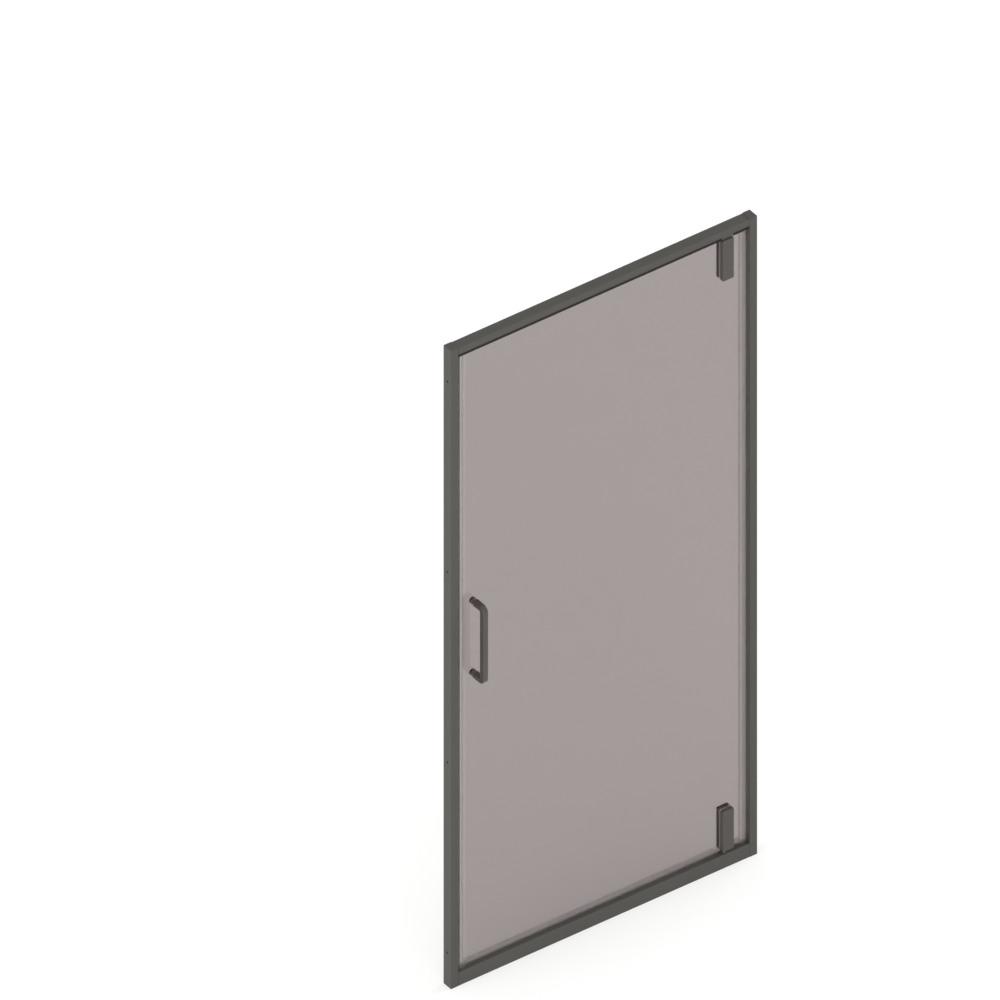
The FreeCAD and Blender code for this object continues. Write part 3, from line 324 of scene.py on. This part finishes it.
class Shape(Nodes):
    """A geometry tree with a seed mesh, named sizes, a seed number and a material as its inputs."""

    def __init__(self, name, sizes):
        super().__init__(bpy.data.node_groups.new(name, "GeometryNodeTree"))
        face = self.tree.interface
        face.new_socket("Geometry", in_out="INPUT", socket_type="NodeSocketGeometry")
        for label in sizes:
            face.new_socket(label, in_out="INPUT", socket_type="NodeSocketFloat")
        face.new_socket("Seed", in_out="INPUT", socket_type="NodeSocketInt")
        face.new_socket("Material", in_out="INPUT", socket_type="NodeSocketMaterial")
        face.new_socket("Geometry", in_out="OUTPUT", socket_type="NodeSocketGeometry")
        self.entry = self.tree.nodes.new("NodeGroupInput")

    def given(self, label):
        """The value of an input."""
        return Signal(self.tree, self.entry.outputs[label])

    def pick(self, index, values):
        """The value of that number in a list."""
        sockets = {PICK_INDEX: index}
        sockets.update(enumerate(values, PICK_INDEX + 1))
        settings = {"data_type": "FLOAT", "choices": len(values)}
        return self.node("GeometryNodeIndexSwitch", settings, sockets=sockets)

    def lathe(self, rows, profile):
        """Closed skin of revolution about Z.

        profile turns (turn, along), both from 0 to 1, into a radius and a height.
        """
        grid = self.node(
            "GeometryNodeMeshGrid", Size_X=1.0, Size_Y=1.0, Vertices_X=TURN_STEPS + 1, Vertices_Y=rows
        )
        place = self.node("GeometryNodeInputPosition")
        # The unit grid is centred on the origin
        turn = self.node("ShaderNodeSeparateXYZ", output="X", Vector=place) + 0.5
        along = self.node("ShaderNodeSeparateXYZ", output="Y", Vector=place) + 0.5
        radius, height = profile(turn, along)
        angle = turn * math.tau
        point = self.node(
            "ShaderNodeCombineXYZ", X=radius * angle.cosine(), Y=radius * angle.sine(), Z=height
        )
        skin = self.node("GeometryNodeSetPosition", Geometry=grid, Position=point)
        return self.node("GeometryNodeMergeByDistance", Geometry=skin, Distance=WELD)

    def done(self, geometry):
        solid = self.node("GeometryNodeRealizeInstances", Geometry=geometry)
        dressed = self.node("GeometryNodeSetMaterial", Geometry=solid, Material=self.given("Material"))
        leave = self.tree.nodes.new("NodeGroupOutput")
        self.tree.links.new(dressed.socket, leave.inputs["Geometry"])
        return self.tree


def thread_profile(given, turn, climb):
    """Radius and height on the shank, as climb goes from 0 at the closed tip to 1 at the neck."""
    height = 0 - given("Head Height") - (1 - climb) * given("Shank Length")
    wave = height / given("Thread Pitch") - turn
    ridge = 1 - abs(wave.fraction() * 2 - 1)
    crest = given("Shank Radius") - given("Thread Depth") * (1 - ridge)
    slope = given("Shank Length") / given("Shank Radius")
    tip = THREAD_TIP_SHARE + climb * slope
    neck = THREAD_NECK_SHARE + (1 - climb) * slope
    return crest * tip.at_most(neck).at_most(1.0) * (climb > WELD), height


def head_profile(shape, row):
    """Radius and height on the head's rows: foot, rim, edge of the top and middle of the top."""
    chamfer = shape.given("Head Chamfer")
    rim = shape.given("Head Radius")
    radius = shape.pick(row, (shape.given("Head Foot Radius"), rim, rim - chamfer, 0.0))
    height = shape.pick(row, (0 - shape.given("Head Height"), 0 - chamfer, 0.0, 0.0))
    return radius, height


def screw_tree():
    """Threaded screws with a hexagon key socket; each point of the seed mesh is the top of a head."""
    shape = Shape("screws", [*SCREW_SIZES["frame_screws"], "Thread Rows"])
    given = shape.given

    def profile(turn, along):
        """From the tip up the thread to the neck, then round the head to the middle of its top."""
        thread_rows = given("Thread Rows")
        row = along * (thread_rows + HEAD_ROWS - 1)
        climb = (row / (thread_rows - 1)).at_most(1.0)
        radius, height = thread_profile(given, turn, climb)
        # The half makes a row's number safe to cut to a whole one
        head_row = row - thread_rows + 0.5
        head_radius, head_height = head_profile(shape, head_row)
        on_head = head_row > 0
        return radius + on_head * (head_radius - radius), height + on_head * (head_height - height)

    blank = shape.lathe(given("Thread Rows") + HEAD_ROWS, profile)
    # The key is centred on the head's top, so half of its length cuts
    length = given("Key Depth") * 2
    key = shape.node("GeometryNodeMeshCylinder", Vertices=KEY_SIDES, Radius=given("Key Radius"), Depth=length)
    screw = shape.node("GeometryNodeMeshBoolean", {"operation": "DIFFERENCE"}, Mesh_1=blank, Mesh_2=key)
    facing = shape.node("GeometryNodeInputNamedAttribute", {"data_type": "FLOAT_VECTOR"}, Name="facing")
    aim = shape.node("FunctionNodeAlignRotationToVector", {"axis": "Z"}, Vector=facing)
    draw = {RANDOM_LEAST: 0.0, RANDOM_MOST: math.tau, RANDOM_SEED: given("Seed")}
    chance = shape.node("FunctionNodeRandomValue", {"data_type": "FLOAT"}, RANDOM_NUMBER_OUT, draw)
    spin = shape.node("FunctionNodeAxisAngleToRotation", Axis=(0, 0, 1), Angle=chance)
    local = {"rotation_space": "LOCAL"}
    turned = shape.node("FunctionNodeRotateRotation", local, Rotation=aim, Rotate_By=spin)
    placed = shape.node(
        "GeometryNodeInstanceOnPoints", Points=given("Geometry"), Instance=screw, Rotation=turned
    )
    return shape.done(placed)


def handle_tree():
    """Square bar with rounded edges along a bent line."""
    shape = Shape("bent_bar", ["Bar Width", "Edge Radius", "Bend Radius"])
    given = shape.given
    rounded = {"mode": "POLY"}
    line = shape.node("GeometryNodeMeshToCurve", Mesh=given("Geometry"))
    bow = shape.node(
        "GeometryNodeFilletCurve", rounded, Curve=line, Count=BEND_STEPS, Radius=given("Bend Radius")
    )
    square = shape.node(
        "GeometryNodeCurvePrimitiveQuadrilateral", Width=given("Bar Width"), Height=given("Bar Width")
    )
    section = shape.node(
        "GeometryNodeFilletCurve", rounded, Curve=square, Count=EDGE_STEPS, Radius=given("Edge Radius")
    )
    return shape.done(shape.node("GeometryNodeCurveToMesh", Curve=bow, Profile_Curve=section, Fill_Caps=True))


def link(name, data):
    """A new object in the scene, at the origin."""
    piece = bpy.data.objects.new(name, data)
    bpy.context.scene.collection.objects.link(piece)
    return piece


def form(name, seed, tree, values):
    """Plain smooth-shaded mesh that a geometry tree makes from a seed mesh."""
    piece = link(name, seed)
    modifier = piece.modifiers.new(name, "NODES")
    modifier.node_group = tree
    for socket in tree.interface.items_tree:
        if socket.in_out == "INPUT" and socket.name in values:
            modifier[socket.identifier] = values[socket.name]
    graph = bpy.context.evaluated_depsgraph_get()
    mesh = bpy.data.meshes.new_from_object(piece.evaluated_get(graph), depsgraph=graph)
    piece.modifiers.remove(modifier)
    piece.data = mesh
    mesh.name = name
    mesh.shade_smooth()
    mesh.set_sharp_from_angle(angle=SHARP_ANGLE)
    return piece


def carry(piece, node):
    """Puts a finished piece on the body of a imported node, in the node's place."""
    body = BODY_OF[node]
    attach(piece, body)
    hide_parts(node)


# Screws


def screw_size(node, label):
    """One size of a node's screws, in metres."""
    return SCREW_SIZES[node][label] * MM


def frame_screw_places():
    """Through both jambs: a pair at the threshold's foot, one at its top and one in the head rail."""
    low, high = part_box("frame_screws")
    head = screw_size("frame_screws", "Head Radius")
    threshold_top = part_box("threshold_rail")[1].z
    lowest = low.z + head
    heights = (lowest, threshold_top - lowest, high.z - head)
    depth = high.y - head
    return [
        ((side * high.x, row * depth, height), (side, 0, 0))
        for side in SIDES for height in heights for row in SIDES
    ]


def lock_screw_places():
    """Three up each wall channel."""
    low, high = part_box("lock_screws")
    head = screw_size("lock_screws", "Head Radius")
    heights = (low.z + head, (low.z + high.z) / 2, high.z - head)
    return [
        ((side * (high.x - head), high.y, height), TOWARDS_SHOWER)
        for side in SIDES for height in heights
    ]


def socket_screw_places():
    """Two aslant beside each pivot, the upper pair facing down and the lower pair facing up."""
    low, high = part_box("socket_screws")
    length = screw_size("socket_screws", "Head Height") + screw_size("socket_screws", "Shank Length")
    pivot = (low.x + high.x) / 2
    offset = high.x - pivot - screw_size("socket_screws", "Head Radius")
    return [
        ((pivot + side * offset, side * offset, height), (0, 0, facing))
        for height, facing in ((high.z - length, -1), (low.z + length, 1)) for side in SIDES
    ]


def paired_screw_places(node):
    """One above the other, on the shower side of the glass."""
    low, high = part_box(node)
    head = screw_size(node, "Head Radius")
    middle = (low.x + high.x) / 2
    return [((middle, high.y, height), TOWARDS_SHOWER) for height in (high.z - head, low.z + head)]


def screw_places():
    """Head tops and the directions that they face, for each node of screws."""
    return {
        "frame_screws": frame_screw_places(),
        "lock_screws": lock_screw_places(),
        "socket_screws": socket_screw_places(),
        "handle_screws": paired_screw_places("handle_screws"),
        "upper_hinge_screws": paired_screw_places("upper_hinge_screws"),
        # The lower hinge mirrors the upper one
        "lower_hinge_screws": paired_screw_places("lower_hinge_screws")[::-1],
    }


def screws(finish):
    """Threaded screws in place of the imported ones, each node a piece of its own."""
    tree = screw_tree()
    for seed_number, (node, places) in enumerate(screw_places().items()):
        seed = bpy.data.meshes.new(node)
        seed.from_pydata([point for point, facing in places], [], [])
        directions = seed.attributes.new("facing", "FLOAT_VECTOR", "POINT")
        for direction, (point, facing) in zip(directions.data, places):
            direction.vector = facing
        sizes = SCREW_SIZES[node]
        values = {label: size * MM for label, size in sizes.items()}
        values["Thread Rows"] = float(int(sizes["Shank Length"] / sizes["Thread Pitch"] * ROWS_PER_THREAD))
        values["Seed"] = seed_number
        values["Material"] = finish
        carry(form("threaded_" + node, seed, tree, values), node)


# Pull handle


def handle(finish):
    """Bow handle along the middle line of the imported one."""
    low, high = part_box("pull_handle")
    width = high.x - low.x
    middle = (low.x + high.x) / 2
    front = low.y + width / 2
    top = high.z - width / 2
    bottom = low.z + width / 2
    line = [(high.y, top), (front, top), (front, bottom), (high.y, bottom)]
    seed = bpy.data.meshes.new("handle_line")
    seed.from_pydata([(middle, y, z) for y, z in line], [(0, 1), (1, 2), (2, 3)], [])
    values = {
        "Bar Width": width,
        "Edge Radius": HANDLE_EDGE_RADIUS,
        "Bend Radius": HANDLE_BEND_RADIUS,
        "Material": finish,
    }
    carry(form("bow_handle", seed, handle_tree(), values), "pull_handle")


# Finishes


class Finish(Nodes):
    """A node material under construction."""

    def __init__(self, name):
        self.material = bpy.data.materials.new(name)
        self.material.use_nodes = True
        super().__init__(self.material.node_tree)
        self.tree.nodes.clear()

    def noise(self, scale, detail=GRAIN_DETAIL, stretch=(1, 1, 1)):
        """Noise with that many specks in a metre, drawn out along each axis by its stretch."""
        place = self.node("ShaderNodeTexCoord", output="Object")
        mapped = self.node("ShaderNodeMapping", Vector=place, Scale=[1 / times for times in stretch])
        return self.node("ShaderNodeTexNoise", Vector=mapped, Scale=scale, Detail=detail)

    def bump(self, height, strength, depth):
        return self.node("ShaderNodeBump", Height=height, Strength=strength, Distance=depth)

    def tone(self, factor, colour, shares):
        """The colour times a share that the factor moves from the first to the second."""
        first, second = (tuple(channel * share for channel in colour) for share in shares)
        sockets = {MIX_FACTOR: factor, MIX_FIRST: first, MIX_SECOND: second}
        return self.node("ShaderNodeMix", {"data_type": "RGBA"}, MIX_COLOUR_OUT, sockets)

    def layer(self, factor, first, second):
        """Mix of two shaders."""
        sockets = {LAYER_FACTOR: factor, LAYER_FIRST: first, LAYER_SECOND: second}
        return self.node("ShaderNodeMixShader", sockets=sockets)

    def surface(self, **sockets):
        return self.node("ShaderNodeBsdfPrincipled", **sockets)

    def done(self, shader):
        leave = self.tree.nodes.new("ShaderNodeOutputMaterial")
        self.tree.links.new(shader.socket, leave.inputs["Surface"])
        return self.material


def powder_coat(name, colour, grain, roughness):
    """Satin coat: a fine orange peel, speckled tone and slightly uneven gloss."""
    finish = Finish(name)
    peel = finish.noise(grain, PEEL_DETAIL)
    cloud = finish.noise(COATING_CLOUDS)
    speckle = COATING_CLOUD_SHARE * cloud + (1 - COATING_CLOUD_SHARE) * peel
    shader = finish.surface(
        Base_Color=finish.tone(speckle, colour, COATING_TONES),
        Roughness=peel.between(*roughness),
        Specular_IOR_Level=COATING_SHINE,
        Normal=finish.bump(peel, *COATING_PEEL),
    )
    return finish.done(shader)


def see_through(finish, tint, body, cover, ripple):
    """Clear sheet: tinted light passes where the body doesn't cover, and its shine grows towards grazing."""
    slant = finish.node("ShaderNodeLayerWeight", output="Facing")
    shine = (slant ** SHEET_EDGE_POWER).between(SHEET_FACING_SHINE, 1)
    clear = finish.node("ShaderNodeBsdfTransparent", Color=tint)
    gloss = finish.node("ShaderNodeBsdfGlossy", Roughness=SHEET_ROUGHNESS, Normal=ripple)
    return finish.layer(shine, finish.layer(cover, clear, body), gloss)


def tinted_glass():
    """Warm grey safety glass: faint roller waves in its shine, and pale ground edges."""
    finish = Finish("tinted_glass")
    ripple = finish.bump(finish.noise(GLASS_WAVES, SMOOTH_DETAIL, GLASS_WAVE_STRETCH), *GLASS_RIPPLE)
    direction = finish.node("ShaderNodeTexCoord", output="Normal")
    facing = abs(finish.node("ShaderNodeSeparateXYZ", output="Y", Vector=direction))
    ground = finish.surface(Base_Color=GLASS_EDGE_GREY, Roughness=GLASS_EDGE_ROUGHNESS)
    cover = facing.between(GLASS_EDGE_COVER, 0)
    return finish.done(see_through(finish, GLASS_TINT, ground, cover, ripple))


def clear_seal():
    """Clear soft plastic, faintly milky along its drawing lines."""
    finish = Finish("clear_seal")
    streak = finish.noise(SEAL_STREAKS, SMOOTH_DETAIL, SEAL_STREAK_STRETCH)
    milk = finish.surface(Base_Color=SEAL_MILK, Roughness=SEAL_MILK_ROUGHNESS)
    ripple = finish.bump(streak, *SEAL_RIPPLE)
    cover = streak.between(*SEAL_MILK_COVER)
    return finish.done(see_through(finish, SEAL_TINT, milk, cover, ripple))


def rubber(name, colour):
    """Dull rubber with a fine grain."""
    finish = Finish(name)
    grain = finish.noise(RUBBER_GRAIN)
    shader = finish.surface(
        Base_Color=finish.tone(grain, colour, RUBBER_TONES),
        Roughness=grain.between(*RUBBER_ROUGHNESS),
        Specular_IOR_Level=RUBBER_SHINE,
        Normal=finish.bump(grain, *RUBBER_RELIEF),
    )
    return finish.done(shader)


def stainless():
    """Turned steel, uneven in its gloss."""
    finish = Finish("stainless")
    turned = finish.noise(STEEL_GRAIN)
    shader = finish.surface(
        Base_Color=finish.tone(turned, STEEL_GREY, STEEL_TONES),
        Metallic=1.0,
        Roughness=turned.between(*STEEL_ROUGHNESS),
    )
    return finish.done(shader)


def nylon():
    """Natural nylon with a faint mottle."""
    finish = Finish("nylon")
    mottle = finish.noise(NYLON_GRAIN)
    shader = finish.surface(
        Base_Color=finish.tone(mottle, NYLON_WHITE, NYLON_TONES),
        Roughness=mottle.between(*NYLON_ROUGHNESS),
    )
    return finish.done(shader)


def slot_finishes():
    """One finish for each material slot of the record."""
    return {
        "frame_metal": powder_coat("frame_powder_coat", FRAME_GREY, FRAME_GRAIN, FRAME_ROUGHNESS),
        "hinge_metal": powder_coat("hinge_coating", HINGE_GREY, HINGE_GRAIN, HINGE_ROUGHNESS),
        "grey_plastic": powder_coat("moulded_plastic", PLASTIC_GREY, PLASTIC_GRAIN, PLASTIC_ROUGHNESS),
        "tinted_glass": tinted_glass(),
        "clear_seal": clear_seal(),
        "black_rubber": rubber("black_rubber", RUBBER_BLACK),
        "pale_gasket": rubber("pale_gasket", GASKET_PALE),
        "magnet": rubber("magnet_strip", MAGNET_BROWN),
        "stainless": stainless(),
        "nylon": nylon(),
    }


def dress_nodes(finishes):
    """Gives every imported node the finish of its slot."""
    for node, slot in SLOT_OF.items():
        mesh = frame["nodes"][node].data
        mesh.materials.clear()
        mesh.materials.append(finishes[slot])


# Stage


def floor():
    """Pale floor with a glow of its own, like a light table, so that the door hardly shades it."""
    finish = Finish("floor")
    shader = finish.surface(
        Base_Color=finish.tone(finish.noise(FLOOR_GRAIN), FLOOR_PALE, FLOOR_TONES),
        Roughness=FLOOR_ROUGHNESS,
        Emission_Color=FLOOR_GLOW_WHITE,
        Emission_Strength=FLOOR_GLOW,
    )
    material = finish.done(shader)
    mesh = bpy.data.meshes.new("floor")
    outline = [(x * FLOOR_HALF, y * FLOOR_HALF, 0) for x, y in ((-1, -1), (1, -1), (1, 1), (-1, 1))]
    mesh.from_pydata(outline, [], [(0, 1, 2, 3)])
    mesh.materials.append(material)
    ground = link("floor", mesh)


def softbox(name, place, watts):
    """Square lamp aimed at the middle of the door's height."""
    lamp = bpy.data.lights.new(name, "AREA")
    lamp.shape = "SQUARE"
    lamp.size = SOFTBOX_SIDE
    lamp.energy = watts
    light = link(name, lamp)
    light.location = place
    target = Vector((0, 0, CAD_BOX[1][2] / 2))
    light.rotation_euler = (target - Vector(place)).to_track_quat("-Z", "Y").to_euler()


def side_light(name, side):
    """Broad even light along the door's plane, so that the door hardly shades the floor."""
    lamp = bpy.data.lights.new(name, "SUN")
    lamp.energy = SIDE_LIGHT_STRENGTH
    lamp.angle = SIDE_LIGHT_SPREAD
    light = link(name, lamp)
    rise = math.tan(SIDE_LIGHT_ELEVATION)
    light.rotation_euler = Vector((-side, 0, -rise)).to_track_quat("-Z", "Y").to_euler()


def lights():
    """White sky, two softboxes in front and a broad light from either side."""
    world = bpy.data.worlds.new("studio")
    bpy.context.scene.world = world
    world.use_nodes = True
    background = world.node_tree.nodes["Background"]
    background.inputs["Color"].default_value = SKY_WHITE
    background.inputs["Strength"].default_value = SKY_STRENGTH
    for name, (place, watts) in SOFTBOXES.items():
        softbox(name, place, watts)
    for name, side in SIDE_LIGHTS.items():
        side_light(name, side)
    bpy.context.scene.view_settings.view_transform = "Standard"


def camera():
    """Parallel view that puts the frame's lower right front corner on its pixel of the photograph."""
    sin_a = math.sin(VIEW_AZIMUTH)
    cos_a = math.cos(VIEW_AZIMUTH)
    sin_e = math.sin(VIEW_ELEVATION)
    cos_e = math.cos(VIEW_ELEVATION)
    right = Vector((cos_a, -sin_a, 0))
    up = Vector((sin_a * sin_e, cos_a * sin_e, cos_e))
    back = right.cross(up)
    channel_low, channel_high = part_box("hinge_wall_channel")
    corner = Vector((channel_high.x, channel_low.y, 0))
    across = (CORNER_PIXEL[0] - IMAGE_SIDE / 2) / PIXELS_PER_METRE
    upward = (IMAGE_SIDE / 2 - CORNER_PIXEL[1]) / PIXELS_PER_METRE
    centre = corner - across * right - upward * up
    lens = bpy.data.cameras.new("photo_view")
    lens.type = "ORTHO"
    lens.ortho_scale = IMAGE_SIDE / PIXELS_PER_METRE
    eye = link("photo_view", lens)
    turn = Matrix((right, up, back)).transposed()
    eye.matrix_world = Matrix.Translation(centre + CAMERA_DISTANCE * back) @ turn.to_4x4()
    bpy.context.scene.camera = eye


slot_finish = slot_finishes()
dress_nodes(slot_finish)
screws(slot_finish["stainless"])
handle(slot_finish["hinge_metal"])
floor()
lights()
camera()
